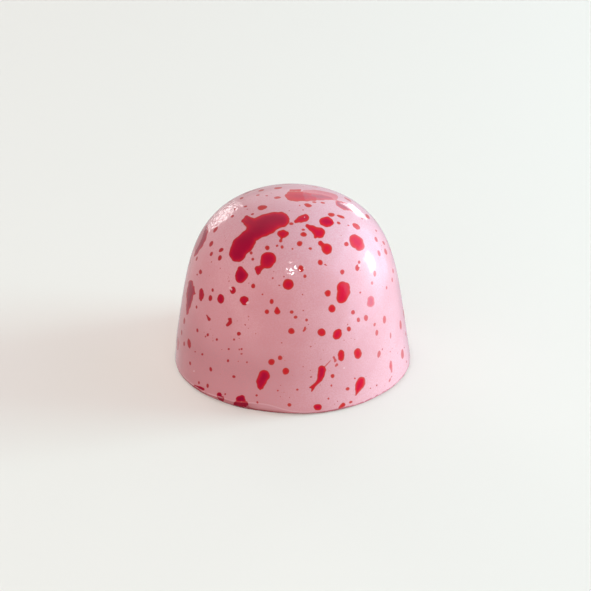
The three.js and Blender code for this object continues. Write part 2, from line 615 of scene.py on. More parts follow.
# %% Splashes of another thickness, with their cover, their load of paint and their beads
OTHER_SPLASHES = {
    "round drop with a tail": (1.0, 0.86, [
        [(268, 259.8, 8.3), (267.2, 261.8, 7)],
        [(264.6, 264.6, 2.4), (261, 267.6, 2.4)],
        [(258.4, 269.4, 3.9), (258.2, 271.6, 2.8), (258, 274.2, 1)],
    ]),
    "tall drop on the right": (1.0, 0.72, [
        [(343.6, 288.3, 6.9), (343.9, 291.6, 6.5), (341.7, 298.3, 5.3)],
    ]),
    "leaning drop on the right": (1.0, 0.62, [
        [(354.5, 239.4, 5.2), (357.2, 242.3, 6.5), (360, 245.9, 4.9)],
    ]),
    "drop under the highlight": (1.0, 0.74, [[(288.2, 284.3, 5.6)]]),
    "fish": (1.0, 0.76, [
        [(307.6, 226, 2.1), (311.5, 228.1, 3)],
        [(311.5, 228.1, 3), (316, 231.2, 4.3), (319.8, 232.5, 5.4)],
        [(317.6, 234, 4), (315.7, 236.9, 1.8)],
    ]),
    "tadpole": (1.0, 0.66, [[(326.9, 248.8, 5.4)], [(320.4, 243, 2.4), (323.6, 245.8, 2.2)]]),
    "leaf": (1.0, 0.74, [
        [(361.5, 380.6, 4.1), (361, 382.4, 4.5), (359.8, 385, 4.6), (358, 389, 3), (355.8, 395.5, 0.4)],
    ]),
    "crown pool": (0.97, 0.8, [
        [(287.6, 195.8, 2.6), (291, 195.6, 5), (298, 196, 5.4), (304, 196.2, 4.8)],
    ]),
    "thinning end of the pool": (0.84, 1.0, [[(304, 196, 4.9), (309, 196.6, 4.4), (315, 197, 3.6)]]),
    "dusky streak of the pool": (0.72, 1.5, [[(306, 196, 3.2), (320, 196.6, 3.6), (332, 198.2, 2)]]),
    "pale streak of the pool": (0.52, 0.8, [
        [(304, 191.4, 1.6), (316, 192, 2.4), (328, 194.4, 2.8), (335, 196.9, 3.2)],
    ]),
    "rim of the crown pool": (1.0, 1.5, [[(290.2, 190.3, 0.8), (300.4, 190.2, 0.9)]]),
    "trace above the pool": (0.35, 0.4, [[(312.5, 186.4, 0.5), (317.5, 187.2, 0.6)]]),
    "torn film": (0.72, 1.8, [[(338.6, 203, 2.8), (343, 205.4, 3.4), (348, 208, 2.8)]]),
    "upper edge of the torn film": (0.85, 1.6, [
        [(337.4, 201.2, 0.8), (344, 203.2, 1), (350, 205.6, 0.8)],
    ]),
    # Painted shade: the dark edge of a small step under the highlight bar.
    "painted shade under the highlight bar": (0.7, 1.8, [[(348, 207.4, 0.7), (352.6, 211.4, 0.7)]]),
    "line behind the film": (0.75, 0.8, [[(344.8, 197.7, 0.6), (348, 199.4, 0.9), (351, 201.4, 0.6)]]),
    "pale drop on the right": (0.7, 0.9, [[(371, 299.6, 3.6), (370.6, 303.6, 3.7)]]),
    "ragged pair": (0.85, 0.45, [
        [(333.8, 357.4, 1.2), (334.6, 359, 0.8)],
        [(335.4, 360.6, 1.4), (334.4, 362, 0.8)],
    ]),
    "drop under the ragged pair": (0.85, 0.45, [[(337, 364.6, 1.4), (335.4, 366.2, 0.9)]]),
    "streak on the right foot": (0.85, 0.9, [
        [(390.9, 361.6, 1), (390.8, 367, 1.5), (391.6, 372.2, 0.6)],
    ]),
    "left edge stain": (0.7, 0.8, [[(177.3, 337, 1), (177.4, 343, 1.4), (177.2, 349, 1)]]),
    "film over the left shoulder": (0.5, 2.0, [
        [(204, 228, 2), (201, 236, 3), (198, 243, 3), (195.4, 250, 1)],
    ]),
    "streak over the left shoulder": (0.98, 2.6, [
        [(206.3, 226.4, 1.4), (205.4, 231, 2.3), (204, 235.4, 2.6), (202.3, 239.6, 2.6), (200.5, 243.6, 2.4)],
        [(200.5, 243.6, 2.4), (198.6, 247.6, 2.1), (196.6, 251.6, 1.6), (194.6, 255.8, 0.8)],
    ]),
    # Painted shade: the dark line of a small pit.
    "painted shade of a pit on the left shoulder": (0.7, 1.8, [[(223.8, 209.2, 0.5), (227.2, 207.6, 0.6)]]),
    "streak on the left wall": (1.0, 1.8, [
        [(190.6, 282.4, 2.6), (189.8, 294, 4), (188.8, 303, 2.8), (186.8, 314, 0.8)],
        [(192.6, 287.6, 1.6), (194, 293, 1.2)],
    ]),
    "foot drop with a nick": (1.0, 1.9, [[(219.2, 394.4, 2.5), (220.2, 397.4, 3), (221, 399, 3.2)]]),
    "smear on the left foot": (1.0, 2.6, [
        [(194.2, 385.6, 1.1), (198.6, 387.8, 1.8), (202.4, 389.2, 1.9)],
    ]),
    "drop on the foot": (1.0, 1.1, [[(316.8, 407, 3.2), (318.6, 407.4, 3.2)]]),
    "foot splash above the crease": (1.0, 1.7, [
        [(238.6, 398.9, 3), (241.8, 398.5, 3.3), (243.6, 400, 2.2)],
    ]),
    "foot splash below the crease": (1.0, 1.5, [
        [(236.2, 404.4, 3.2), (240.6, 405, 2.6), (244.8, 404.8, 3.3)],
    ]),
    "smear after the foot splash": (0.5, 1.0, [
        [(246, 406.4, 1.2), (251, 408.6, 0.8), (256, 409.8, 0.4)],
    ]),
}

# %% Small drops, as how thick a group is, then middle, width, height and lean in photo pixels
SMALL_DROPS = {
    "crown": (1.0, [
        (262.3, 207.5, 10, 5, 80), (278.2, 188, 8.8, 2, 85), (261.4, 190.3, 6.6, 1.8, 75),
        (277.4, 197.6, 7.6, 2.6, 85), (258.1, 195.1, 4, 1.5, 80), (266.8, 195.7, 3, 1.2, 90),
        (241.7, 198.1, 4.4, 1.8, 65), (245.5, 206.5, 4, 1.8, 70), (308.1, 205.2, 8, 3.8, 102),
        (314.3, 202.2, 5, 1.6, 95), (322.9, 202.8, 5, 1.8, 100), (299.8, 205.5, 2, 1.2, 90),
        (303.1, 210, 1.6, 1.4), (252.5, 214.1, 3.5, 1.8, 75), (234.8, 209, 2.6, 2, 60),
        (232.2, 216, 4, 2.6, 65),
    ]),
    "right shoulder": (0.95, [
        (331.5, 214.6, 7.2, 3.8, 97), (340.8, 216.6, 8.8, 2.8, 110), (338.8, 223.1, 4.2, 2.8, 115),
        (348.5, 225.4, 2.4, 1.6, 120), (356.4, 226.4, 9, 4.8, 125), (367.7, 216.5, 2.8, 6.2, -42),
        (362.1, 218.7, 2.4, 1.4, 130), (346.4, 244.2, 4.4, 4.8), (376.2, 239.5, 2.8, 5.6, -25),
        (383.7, 243, 1.8, 5, -30), (379.1, 253.4, 2.8, 6.4, -18), (385.8, 251.7, 2.6, 6.8, -18),
        (376.2, 230.7, 1.4, 3, -35),
    ]),
    "front of the shoulder": (1.0, [
        (291.5, 223.8, 4.6, 2.8, 90), (303.3, 229.7, 4, 2.2, 90), (303.5, 234.5, 6.6, 4.6, 90),
        (299.8, 243.7, 5.6, 5.2), (292.5, 248.8, 2.4, 2, 90), (310.3, 248.6, 4, 2.7, 100),
        (267.4, 247.9, 5, 5), (277, 245.7, 2.8, 2.6), (282.1, 247, 3.4, 3.6), (251.3, 253, 3.2, 3.2),
        (252.8, 259.2, 3, 3),
    ]),
    "left shoulder": (1.2, [
        (221.4, 249.9, 3.8, 5.6, 50), (219.8, 257.8, 3.8, 5.6, 15), (211.2, 243.7, 3.6, 6.6, 25),
        (211.3, 253.9, 2.8, 4.8, 25), (215.6, 229.5, 3.2, 7.6, 35), (196.7, 258.6, 1.8, 5, 18),
    ]),
    "middle left": (1.5, [
        (200.5, 271.8, 3.4, 5), (197.2, 274.5, 1.6, 2), (201.3, 294.6, 5.4, 13, 2),
        (212.7, 290.1, 2.6, 4), (210.4, 298, 4, 6.2), (220.7, 298.6, 6.8, 9.8), (232.9, 290.3, 6.8, 7.4),
        (253.2, 286, 4.4, 5), (272.7, 278.2, 2.6, 2, 90), (262.5, 294.4, 2, 2.2),
        (271.7, 301.6, 4.2, 5.4), (266.8, 311.8, 4.6, 5), (196.5, 307, 1.8, 3.4),
        (184.2, 320.7, 1.8, 7, 4), (181.6, 332.3, 1.3, 6, 2),
    ]),
    "middle": (1.0, [
        (320.3, 262.6, 5, 5.6), (325.5, 264.8, 3.6, 1.8, 115), (300.9, 268.5, 5.7, 7),
        (304.9, 276.2, 3.6, 3.8), (342.4, 272, 4.6, 5), (328, 293.3, 6.4, 7), (332.1, 308.8, 7.6, 8.2),
        (291.6, 312.2, 4.3, 3.9), (295.6, 317.2, 4, 3.2, 90), (306.6, 319.9, 3, 3),
        (291.3, 331.3, 6.4, 6.4), (321.5, 332.5, 8.4, 8, 90), (337.3, 334.2, 8.6, 11.8, 28),
        (348.9, 329, 4.2, 5.2),
    ]),
    "middle right": (0.85, [
        (359.2, 262.1, 2.8, 3.4), (357.3, 267.9, 4.6, 6.6), (374.7, 273.7, 3, 6.4),
        (372.1, 283.2, 2.4, 3.6), (360.3, 292.6, 2.2, 2.2), (386.6, 287.8, 1.6, 3.8),
        (393.1, 270.8, 1.5, 5, -6), (392.2, 279.9, 1.5, 5, -4), (353, 312.4, 4, 4.6),
        (358.4, 319.9, 3.6, 4.8), (366, 318, 4.2, 6.2), (384.4, 319.7, 3.6, 8),
        (374.6, 324.6, 2.2, 4, 20), (376.8, 332.9, 3.2, 6.2), (400.7, 324.9, 2.2, 10.4, -4),
        (390.6, 335.6, 1.4, 7),
    ]),
    "lower left": (1.35, [
        (197.3, 330.2, 2.3, 4.2, -10), (207.7, 334.8, 2.4, 3.2), (205.4, 336.5, 1.4, 2),
        (216.8, 339.5, 2.2, 2.6), (238.8, 333.6, 4.2, 4), (234, 339.5, 2, 2.4),
        (189.1, 343.4, 3.6, 10.4, -8), (184.1, 343.9, 1.8, 5), (195.1, 351.6, 1.8, 1.4, 90),
        (202.3, 354.2, 2.2, 2.4), (228.7, 349, 2.4, 2.2), (241.5, 349, 2.2, 2.2),
        (227.9, 360.7, 2.3, 3.2), (190, 363.3, 2, 4.2, -8), (210.7, 369.3, 2.8, 4.8, -15),
        (233.7, 376.6, 3.4, 3, 110), (198.8, 382.6, 1.9, 3.4), (207.6, 385.7, 2.5, 4.7),
        (225.1, 394.1, 2, 2.4),
    ]),
    "lower front": (1.05, [
        (271.4, 362.2, 6.8, 6.8), (280, 357.7, 4.7, 4.7), (285.8, 371.4, 7, 7), (289.2, 404.9, 3.7, 3.7),
        (256.5, 395.4, 2.3, 2.3), (257.3, 402.4, 1.8, 2.8, -25), (277.8, 390.6, 2, 2),
        (297.2, 389.7, 2.6, 2.3), (332.6, 376.2, 3.8, 4.2), (331.3, 385.7, 2.2, 2.6),
        (328.3, 398.7, 2, 2.4),
    ]),
    "lower right": (0.9, [
        (341.2, 355.5, 7.2, 11.6), (357.8, 353.5, 8, 10.9), (378.9, 354.2, 3.3, 7.6, 12),
        (402.4, 354.2, 3, 10.6), (347.5, 388.9, 4.2, 3.5, 70), (354.8, 378.5, 1.9, 2),
        (350.7, 402.2, 3.6, 2.4, 65), (389.8, 380.2, 1.7, 4.2, 20), (391.6, 376.8, 1.2, 2, 20),
        (406.7, 361.7, 1, 3), (390.3, 351.8, 1.5, 1.8),
    ]),
}

# %% [markdown]
# Five circles that just fit inside an oval along its longer side give its outline, so a small drop is
# painted with the same beads as a large one.

# %% Ovals as beads
OVAL_STEPS = (-1, -0.6, 0, 0.6, 1)


def oval_beads(x, y, wide, high, lean=0):
    """An oval's five beads. A wide oval without a lean lies flat."""
    long_half = max(wide, high) / 2
    short_half = min(wide, high) / 2
    angle = math.radians(lean if high >= wide or lean else 90)
    reach = (long_half * long_half - short_half * short_half) / long_half
    beads = []
    for step in OVAL_STEPS:
        radius = short_half * math.sqrt(1 - step * step * reach / long_half)
        beads.append((x + step * reach * math.sin(angle), y - step * reach * math.cos(angle), radius))
    return beads


small_made = sum(len(drops) for _, drops in SMALL_DROPS.values())
print("splashes in view", len(LARGE_SPLASHES) + len(OTHER_SPLASHES) + small_made)

# %% [markdown]
# ## Painting on the shell's points
#
# Paint in a mould lies flush with the rest, so a splash changes the colour of the skin and not its shape.
# Three numbers for each point of the shell tell the finish about the paint: how deep the point lies inside
# a splash, how well the film covers there, and how thick the paint is. They are worked out here and kept on
# the mesh, because a drawing of this many beads would be a very slow shader. Flicked paint spreads
# unevenly, so a seeded waver moves every outline a little.

# %% A layer of paint
FAR_OUTSIDE = -2.0
EDGE_WAVER = 0.22
FINE_WAVER = 0.12
SETTLED = 0.92
SETTLING_WAVER = 0.08

uneven = waver(places, 0.9 * MM, 5) * EDGE_WAVER + waver(places, 0.45 * MM, 6) * FINE_WAVER
settled = SETTLED + waver(places, 2.6 * MM, 11) * SETTLING_WAVER
print(f"outlines waver by up to {np.abs(uneven).max():.2f} pixels")


class Layer:
    """What the paint is like at each point of the shell."""

    def __init__(self):
        self.depth = np.full(len(places), FAR_OUTSIDE)
        self.film = np.ones(len(places))
        self.thick = np.zeros(len(places))


# %% One splash on its sheet
SPLASH_REACH = 14
FILLET = 1.6
FULLY_WAVERING_RADIUS = 3
FULL_LOAD_SIZE = 6.5
RIM_SOFTNESS = 0.24


def depth_of(runs, points):
    depth = depth_in_run(points, runs[0])
    for beads in runs[1:]:
        depth = soft_union(depth, depth_in_run(points, beads), FILLET)
    return depth


def paint(layer, sheet, runs, cover=1.0, load=None, thicker=1.0):
    """Keeps the depth of the nearest splash at each point of the shell, in millimetres.
    A larger splash carries a thicker load of paint, unless the load is given."""
    size = max(math.hypot(x, y) + radius for beads in runs for x, y, radius in beads)
    widest = max(radius for beads in runs for x, y, radius in beads)
    slant = np.linalg.svd(sheet.draw, compute_uv=False).min()
    reach = min((size + SPLASH_REACH) / slant, RIM_RADIUS)
    near = np.flatnonzero(np.linalg.norm(places - sheet.middle, axis=1) < reach)
    wavering = uneven[near] * min(1.0, widest / FULLY_WAVERING_RADIUS)
    depth = (depth_of(runs, sheet.lay(places[near])) + wavering) / PIXELS_PER_MM
    if load is None:
        load = thicker * min(1.0, math.sqrt(widest * size) / FULL_LOAD_SIZE)
    thick = load * (1 - np.exp(-np.maximum(depth, 0) / RIM_SOFTNESS)) * settled[near]
    deeper = depth > layer.depth[near]
    layer.depth[near[deeper]] = depth[deeper]
    layer.film[near[deeper]] = cover
    layer.thick[near[deeper]] = np.clip(thick[deeper], 0, 1)


def paint_seen(layer, runs, cover=1.0, load=None, thicker=1.0):
    """Lays beads given in photo pixels on the sheet at their middle."""
    x, y, _ = np.mean([bead for run in runs for bead in run], axis=0)
    sheet = Sheet(*on_dome(x, y))
    laid = [[(*sheet.lay(np.array([on_dome(*bead[:2])[0]]))[0], bead[2]) for bead in run] for run in runs]
    paint(layer, sheet, laid, cover, load, thicker)


# %% The splashes in view
red_layer = Layer()
for runs in LARGE_SPLASHES.values():
    paint_seen(red_layer, runs)
for cover, load, runs in OTHER_SPLASHES.values():
    paint_seen(red_layer, runs, cover, load)
for thicker, drops in SMALL_DROPS.values():
    for drop in drops:
        paint_seen(red_layer, [oval_beads(*drop)], thicker=thicker)
print("points under red paint", int((red_layer.depth > 0).sum()))

# %% [markdown]
# ## Splashes out of sight
#
# The back and the far sides are splashed by the same hand, so a seeded draw makes the same kinds there: a
# few running blots, drops with tails, ovals and many dots. Each one is dropped on a random point of the
# shell, and is kept only where the photograph doesn't look and no earlier splash lies.

# %% The kinds of splash out of sight, in pixels as those in view
UNSEEN_KINDS = {"blot": 5, "tailed drop": 9, "oval": 40, "dot": 110}
BLOT_START = (5, 8)
BLOT_STEPS = (2, 4)
BLOT_BEND = 0.6
BLOT_STRIDE = (7, 11)
BLOT_RADIUS = (4.5, 8.5)
HEAD_RADIUS = (3.5, 6.5)
TAIL_LENGTH = (3, 8)
NECK_AT = 0.6
NECK_SHARE = 0.4
TAIL_SHARE = (0.15, 0.45)
OVAL_WIDTH = (4, 9)
DOT_WIDTH = (1.8, 4.5)
OVAL_LENGTH = (1, 1.5)


def blot_beads(draw):
    beads = [(0, 0, draw.uniform(*BLOT_START))]
    heading = draw.uniform(0, 2 * math.pi)
    for _ in range(draw.randint(*BLOT_STEPS)):
        x, y, radius = beads[-1]
        heading += draw.uniform(-BLOT_BEND, BLOT_BEND)
        step = draw.uniform(*BLOT_STRIDE)
        beads.append((x + step * math.cos(heading), y + step * math.sin(heading), draw.uniform(*BLOT_RADIUS)))
    return beads


def unseen_beads(kind, draw):
    """The beads of one splash, round its own middle."""
    if kind == "blot":
        return blot_beads(draw)
    if kind == "tailed drop":
        radius = draw.uniform(*HEAD_RADIUS)
        reach = radius + draw.uniform(*TAIL_LENGTH)
        neck = (reach * NECK_AT, 0, radius * NECK_SHARE)
        return [(0, 0, radius), neck, (reach, 0, radius * draw.uniform(*TAIL_SHARE))]
    wide = draw.uniform(*(OVAL_WIDTH if kind == "oval" else DOT_WIDTH))
    return oval_beads(0, 0, wide, wide * draw.uniform(*OVAL_LENGTH))


# %% The splashes out of sight
UNSEEN_SEED = 41
UNSEEN_FACING = 0.16
ROOM_FOR_A_BLOT = -0.9
ROOM_FOR_OTHERS = -0.35
LOWEST_SPLASH = 1.5 * MM


def is_free(kind, index):
    """Whether a splash may lie at a point: unpainted, above the foot, and where the camera doesn't look."""
    place = Vector(places[index])
    clear = red_layer.depth[index] < (ROOM_FOR_A_BLOT if kind == "blot" else ROOM_FOR_OTHERS)
    facing = Vector(normals[index]).dot((eye - place).normalized())
    return clear and place.z > LOWEST_SPLASH and facing < UNSEEN_FACING


draw = random.Random(UNSEEN_SEED)
for kind, count in UNSEEN_KINDS.items():
    made = 0
    while made < count:
        index = draw.randrange(len(places))
        if is_free(kind, index):
            turn = draw.uniform(0, 2 * math.pi)
            sheet = Sheet(Vector(places[index]), Vector(normals[index]), False, turn)
            paint(red_layer, sheet, [unseen_beads(kind, draw)])
            made += 1
print("splashes out of view", sum(UNSEEN_KINDS.values()))

# %% [markdown]
# ## Nicks and painted glints
#
# The nicks are places where a crumb of the mould's last batch kept the paint off, so a pale spot is left in
# the red. A few of the pale spots here are painted glints instead, and one is a painted highlight bar beside
# the film. They are drawn with the same beads, on a layer of their own.

# %% Nicks and painted glints
NICKS_AND_GLINTS = {
    "nick in the round drop": [(229.8, 287.6, 1.1), (231.6, 289.6, 0.7)],
    "nick in the notched drop": [(248.2, 302.6, 1.2), (246.8, 303.6, 0.7)],
    "nick in the foot drop": [(221.7, 396, 0.3), (222.6, 395.6, 0.4)],
    # Painted highlights: three glints on the drops and a bright bar beside the film.
    "painted glint beside the small drop": [(304.3, 268.2, 1)],
    "painted glint in the teardrop": [(304.6, 217.2, 0.4)],
    "painted highlight bar beside the film": [(347.6, 205, 0.6), (353, 209.8, 0.6)],
    "painted glint between the pair on the right": [(359.4, 265.6, 1.1)],
    "crumb on the left foot": [(193.9, 371, 0.8)],
    "crumb on the right wall": [(344, 368, 0.9)],
}
nick_and_glint_layer = Layer()
for beads in NICKS_AND_GLINTS.values():
    paint_seen(nick_and_glint_layer, [beads])

painted = {
    "splash": red_layer.depth,
    "film": red_layer.film,
    "thick": red_layer.thick,
    "nick": nick_and_glint_layer.depth,
}
for name, values in painted.items():
    kept = shell.data.attributes.new(name, "FLOAT", "POINT")
    kept.data.foreach_set("value", values.astype(np.float32))
print("nicks", len(NICKS_AND_GLINTS), "numbers kept on the mesh", sorted(painted))

# %% [markdown]
# ## The fine spray
#
# Between the splashes lies a spray of specks one or two tenths of a millimetre wide. They are too fine to
# paint on the shell's points, so Geometry Nodes scatter them as thin scales: points on the faces, thinned
# by a cloudy density and kept off the splashes and the foot, then one flat cone on each, turned to the
# surface.

# %% Where the specks lie
SPRAY_SIZES = {
    "Specks Per Area": 520000.0,
    "Smallest": 0.045 * MM,
    "Largest": 0.12 * MM,
    "Seed": 7,
}
SPRAY_CLOUDS = 0.22 / MM
SPRAYED = (0.42, 0.72)
CLEAR_OF_SPLASH = (-0.25, -0.2)
CLEAR_OF_FOOT = (0.3, 0.6)


def speck_points(bench, sizes):
    body = bench.node("GeometryNodeObjectInfo", {"Object": sizes["Shell"]})["Geometry"]
    sprayed = bench.node("ShaderNodeTexNoise", {"Scale": SPRAY_CLOUDS, "Detail": 1.0})["Fac"]
    free = 1 - stored(bench, "splash").between(*CLEAR_OF_SPLASH)
    free = free * stored(bench, "band").between(*CLEAR_OF_FOOT)
    density = sizes["Specks Per Area"] * sprayed.between(*SPRAYED) * free
    inputs = {"Mesh": body, "Density": density, "Seed": sizes["Seed"]}
    return bench.node("GeometryNodeDistributePointsOnFaces", inputs, distribute_method="RANDOM")


# %% A scale on each point
SPECK_SHAPE = {"Vertices": 12, "Side Segments": 1, "Radius Top": 0.45, "Radius Bottom": 1.0, "Depth": 0.035}
MOSTLY_SMALL = 2.5
LONGEST = 1.5
FULL_TURN = 6.283


def drawn(bench, low, high, seed):
    """A number drawn anew for each speck."""
    inputs = {"Min": low, "Max": high, "Seed": seed}
    return bench.node("FunctionNodeRandomValue", inputs, data_type="FLOAT")


def specks_on(bench, sizes, points):
    scale = bench.node("GeometryNodeMeshCone", SPECK_SHAPE, fill_type="NGON")
    larger = drawn(bench, 0.0, 1.0, 3) ** MOSTLY_SMALL
    wide = sizes["Smallest"] + (sizes["Largest"] - sizes["Smallest"]) * larger
    long = wide * drawn(bench, 1.0, LONGEST, 4)
    size = bench.node("ShaderNodeCombineXYZ", {"X": wide, "Y": long, "Z": wide})
    spin = bench.node("ShaderNodeCombineXYZ", {"Z": drawn(bench, 0.0, FULL_TURN, 5)})
    turning = {"Rotation": points["Rotation"], "Rotate By": spin}
    turned = bench.node("FunctionNodeRotateRotation", turning, rotation_space="LOCAL")
    copies = {"Points": points, "Instance": scale, "Rotation": turned, "Scale": size}
    specks = bench.node("GeometryNodeInstanceOnPoints", copies)
    return store(bench, specks, "tint", drawn(bench, 0.0, 1.0, 6), "INSTANCE")


# %% The spray
speck_paint = bpy.data.materials.new("speck paint")
spray_sizes = {**SPRAY_SIZES, "Shell": shell, "Paint": speck_paint}
sprayer, sprayer_sizes = start_tree("fine spray", spray_sizes)
specks = specks_on(sprayer, sprayer_sizes, speck_points(sprayer, sprayer_sizes))
finish_tree(sprayer, specks, sprayer_sizes["Paint"])
spray = run_tree(sprayer, spray_sizes, "fine_spray")

# %% [markdown]
# ## The cocoa butter finish
#
# The red lies under the same gloss as the pink, so one material holds both, and masks worked out from the
# numbers on the mesh decide where each colour shows. A place's millimetres across and up also paint light
# and shade into the rest: the crown is made paler as painted light, and the low left side deeper as painted
# shade.

# %% What the skin's finish depends on
def start_shader(owner):
    """The empty shader tree of a material, or of the world."""
    owner.use_nodes = True
    owner.node_tree.nodes.clear()
    return Bench(owner.node_tree)


def attribute(bench, name):
    return bench.node("ShaderNodeAttribute", {}, attribute_name=name)["Fac"]


def finish_shader(bench, finish):
    shader = bench.node("ShaderNodeBsdfPrincipled", finish)
    bench.node("ShaderNodeOutputMaterial", {"Surface": shader})


bench = start_shader(skin)
spot = in_millimetres(bench, bench.node("ShaderNodeTexCoord")["Object"])
parts = bench.node("ShaderNodeSeparateXYZ", {"Vector": spot})
across = parts["X"]
up = parts["Z"]
splash = attribute(bench, "splash")
film = attribute(bench, "film")
thick = attribute(bench, "thick")
band = attribute(bench, "band")
# nick holds the pale nicks in the red, and also the painted glints and the painted highlight bar.
nick = attribute(bench, "nick").between(-0.04, 0.03)
under = attribute(bench, "under").between(0.05, 0.5)

# %% [markdown]
# ### The pink ground
#
# Sprayed cocoa butter is never one flat colour. It is paler where the cloud of the airbrush was thick, a
# fine grain runs through it, and here and there a speck of dust is caught in it.

# %% The pink ground
PINK = (0.705, 0.315, 0.343)
PINK_PALE = (0.745, 0.355, 0.385)
PINK_DEEP = (0.69, 0.26, 0.285)
PINK_CROWN_IN_PAINTED_LIGHT = (0.715, 0.385, 0.425)
PINK_IN_PAINTED_SHADE = (0.56, 0.235, 0.256)
DUST = (0.55, 0.12, 0.1)
CROWN_HEIGHTS = (14.5, 20.5)
LOW_HEIGHTS = (11.0, 4.0)
LEFT_OF_FRONT = (5.0, -6.0)
FOOT_SHARE = 0.55
ABOVE_FOOT_SHARE = 0.35
DUST_CELLS = 1.18
DUST_RADII = (0.045, 0.075)
DUST_SHARE = 0.75

ground = bench.mix(cloud(bench, spot, 4.5).between(0.35, 0.65), PINK, PINK_PALE)
# Painted light: the crown is made paler, as where more light falls on top.
ground = bench.mix(up.between(*CROWN_HEIGHTS), ground, PINK_CROWN_IN_PAINTED_LIGHT)
# Painted shade: the ground is darker low on the left, the side away from the light.
shaded = up.between(*LOW_HEIGHTS) * across.between(*LEFT_OF_FRONT)
shaded = shaded * (FOOT_SHARE + up.between(2.0, 6.0) * ABOVE_FOOT_SHARE)
ground = bench.mix(shaded, ground, PINK_IN_PAINTED_SHADE)
grain = cloud(bench, spot, 0.16, 1.0).between(0.3, 0.7)
ground = bench.mix(grain * 0.5, ground, PINK_DEEP)
cells = bench.node("ShaderNodeTexVoronoi", {"Vector": spot, "Scale": DUST_CELLS})
dusty = (1 - cells["Distance"].between(*DUST_RADII)) * cloud(bench, spot, 6).between(0.45, 0.6)
ground = bench.mix(dusty * DUST_SHARE, ground, DUST)

# %% [markdown]
# ### The red under the gloss
#
# Thin paint near an edge lets light through and looks scarlet, and a thick middle looks crimson. So one
# colour ramp on the thickness paints every splash, large or small. The thinnest drops on the far right are
# made paler, with some pink mixed in, and the red is darkened towards the left as painted shade.

# %% The red under the gloss
PAINT_BY_THICKNESS = [
    (0.0, (0.57, 0.07, 0.065)),
    (0.18, (0.57, 0.033, 0.03)),
    (0.34, (0.61, 0.018, 0.024)),
    (0.54, (0.61, 0.008, 0.034)),
    (0.76, (0.48, 0.004, 0.038)),
    (1.0, (0.355, 0.002, 0.034)),
]
RED_IN_PAINTED_SHADE = (0.28, 0.004, 0.028)
PALE_NICK_AND_HIGHLIGHT = (0.8, 0.5, 0.52)
SPLASH_EDGE = (-0.035, 0.03)
RED_SHADED_SIDE = (0.0, -9.0)
RED_SHADE_SHARE = 0.4
PALER_RED_SIDE = (6.5, 11.0)
THIN_PAINT = (0.15, 0.5)
PINK_MIXED_INTO_RED = 0.28
NICK_AND_GLINT_SHARE = 0.7

red = bench.node("ShaderNodeValToRGB", {"Fac": thick}, stops=PAINT_BY_THICKNESS)
# Painted shade: the red darkens towards the left, the side away from the light.
red = bench.mix(across.between(*RED_SHADED_SIDE) * RED_SHADE_SHARE, red, RED_IN_PAINTED_SHADE)
# The thinnest red towards the far right is made paler, with some pink mixed in.
paler = across.between(*PALER_RED_SIDE) * (1 - thick.between(*THIN_PAINT))
cover = splash.between(*SPLASH_EDGE) * film * (1 - nick) * (1 - paler * PINK_MIXED_INTO_RED)
painted_skin = bench.mix(cover, ground, red)
# Pale nicks, painted glints and a painted highlight bar lighten the red.
painted_skin = bench.mix(nick * NICK_AND_GLINT_SHARE, painted_skin, PALE_NICK_AND_HIGHLIGHT)

# %% [markdown]
# ### The foot
#
# Under the crease the skin is scraped, so it is less glossy and a little darker, and it is darkened further
# as painted shade on the left and low down. Where a splash runs over the crease it goes on there in a deeper
# red, deepened as painted shade. The crease itself carries a painted highlight, a pale line, on the left, and
# on the right a nibbled red line. The lowest edge is the rim that the blade cut, nibbled and darkened as
# painted shade. At the far left the rim has turned up into a small lip, darkened the same way, with a painted
# highlight on the ridge over it.

# %% The band under the crease
BAND = (0.68, 0.3, 0.33)
BAND_IN_PAINTED_SHADE_LEFT = (0.5, 0.175, 0.19)
BAND_IN_PAINTED_SHADE_LOW = (0.62, 0.205, 0.22)
RED_ON_BAND_IN_PAINTED_SHADE = (0.32, 0.002, 0.024)
RIGHT_SIDE = (2, 7)
BAND_LEFT_SIDE = (-3.0, -6.5)
LINE_SHARE = 0.34


def stretch(value, rise, fall):
    """1 along a stretch of the value, which it enters by one step and leaves by another."""
    return value.between(*rise) * (1 - value.between(*fall))


on_band = 1 - band.between(-0.1, 0.04)
crease_line = stretch(band, (-0.1, 0.0), (0.06, 0.16))
rightness = across.between(*RIGHT_SIDE)
# Painted shade: the band is darker on the left and low down, and a splash on it is a deeper red.
band_colour_with_shade = bench.mix(across.between(*BAND_LEFT_SIDE), BAND, BAND_IN_PAINTED_SHADE_LEFT)
band_colour_with_shade = bench.mix(1 - up.between(0.1, 0.9), band_colour_with_shade, BAND_IN_PAINTED_SHADE_LOW)
band_colour_with_shade = bench.mix(cover, band_colour_with_shade, RED_ON_BAND_IN_PAINTED_SHADE)
colour = bench.mix(on_band, painted_skin, band_colour_with_shade)
# Painted highlight: a pale line along the crease on the left.
crease_highlight = crease_line * (1 - rightness) * (1 - cover * 0.8) * LINE_SHARE
colour = bench.mix(crease_highlight, colour, PALE_NICK_AND_HIGHLIGHT)

# %% The cut rim, the lip and the base
RIM_IN_PAINTED_SHADE = (0.34, 0.04, 0.05)
FOOT_RIM_RIGHT = (0.5, 0.1, 0.13)
SCRAPED_BASE = (0.40, 0.19, 0.18)
RIM_HEIGHTS = (0.2, 0.46)
FAR_RIGHT = (5, 9)
FAR_LEFT = (-6.5, -8.5)
LIP_SHARE = 0.75
RED_LINE_SHARE = 0.8

nibbled = cloud(bench, spot, 0.7, 3.0).between(0.38, 0.52)
far_right = across.between(*FAR_RIGHT)
